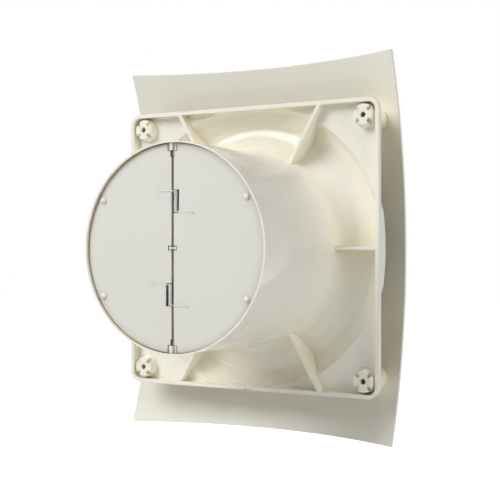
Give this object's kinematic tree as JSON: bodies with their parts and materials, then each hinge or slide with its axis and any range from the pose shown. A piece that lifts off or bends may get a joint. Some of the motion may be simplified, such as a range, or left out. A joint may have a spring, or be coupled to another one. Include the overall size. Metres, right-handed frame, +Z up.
{
  "type": "axial exhaust fan",
  "caption": "Square wall-mounted axial exhaust fan with a round duct spigot, a bowed front panel, spring-shut back-draught flaps and a motor on a three-armed bracket.",
  "frame": {"origin": "on the duct axis, in the plane of the base's rim that lies on the wall", "axes": "+Y along the duct axis, into the wall; +Z up as the fan hangs; +X to the right as seen from the room"},
  "size_m": [0.1566, 0.116, 0.1966],
  "materials": {
    "ivory_plastic": "semi-gloss moulded ABS",
    "flap_plastic": "matte moulded plastic",
    "steel": "bright zinc-plated",
    "spring_wire": "drawn spring wire",
    "clip_plastic": "matte moulded plastic",
    "clear_rubber": "clear soft domes",
    "bracket_plastic": "matte moulded plastic",
    "cover_metal": "pressed sheet",
    "lamination": "stacked laminations",
    "bobbin_plastic": "matte moulded nylon",
    "copper_wire": "enamelled copper windings",
    "bronze": "sintered bronze",
    "impeller_plastic": "semi-gloss moulded plastic",
    "terminal_plastic": "matte moulded nylon",
    "terminal_brass": "plain brass",
    "grommet_rubber": "soft rubber",
    "lead_jacket": "smooth sheath"
  },
  "bodies": {
    "base": {"housing": "ivory_plastic", "valve_ring": "ivory_plastic", "flap_pin_left": "steel", "flap_pin_right": "steel", "hinge_pin_clip": "clip_plastic", "flap_spring_upper": "spring_wire", "flap_spring_lower": "spring_wire", "motor_bracket": "bracket_plastic", "bracket_screws": "steel", "motor_front_cover": "cover_metal", "motor_rear_cover": "cover_metal", "motor_screws": "steel", "motor_nuts": "steel", "stator_core": "lamination", "coil_bobbins": "bobbin_plastic", "stator_coils": "copper_wire", "front_bush": "bronze", "rear_bush": "bronze", "terminal_block": "terminal_plastic", "terminal_screws": "terminal_brass", "terminal_block_screw": "steel", "cable_clamp": "terminal_plastic", "clamp_screws": "steel", "wire_grommet": "grommet_rubber", "motor_lead": "lead_jacket"},
    "rotor": {"rotor_core": "lamination", "motor_shaft": "steel", "thrust_washers": "bobbin_plastic", "impeller": "impeller_plastic", "impeller_clip": "steel"},
    "left_flap": {"flap_left": "flap_plastic", "flap_bumpers_left": "clear_rubber"},
    "right_flap": {"flap_right": "flap_plastic", "flap_bumpers_right": "clear_rubber"},
    "panel": {"front_panel": "ivory_plastic"}
  },
  "joints": [
    {"name": "fan_spin", "type": "hinge", "parent": "base", "child": "rotor", "pos_m": [0, 0, 0], "axis": [0, 1, 0], "continuous": true},
    {"name": "left_flap_hinge", "type": "hinge", "parent": "base", "child": "left_flap", "pos_m": [-0.0015, 0.069, 0], "axis": [0, 0, -1], "range_deg": [0, 85], "stiffness_Nm_per_rad": 0.0003, "springref_deg": -85.94, "deforming": ["flap_spring_upper"]},
    {"name": "right_flap_hinge", "type": "hinge", "parent": "base", "child": "right_flap", "pos_m": [0.0015, 0.069, 0], "axis": [0, 0, 1], "range_deg": [0, 85], "stiffness_Nm_per_rad": 0.0003, "springref_deg": -85.94, "deforming": ["flap_spring_lower"]},
    {"name": "panel_pull", "type": "slide", "parent": "base", "child": "panel", "axis": [0, -1, 0], "range_m": [0, 0.02]}
  ]
}
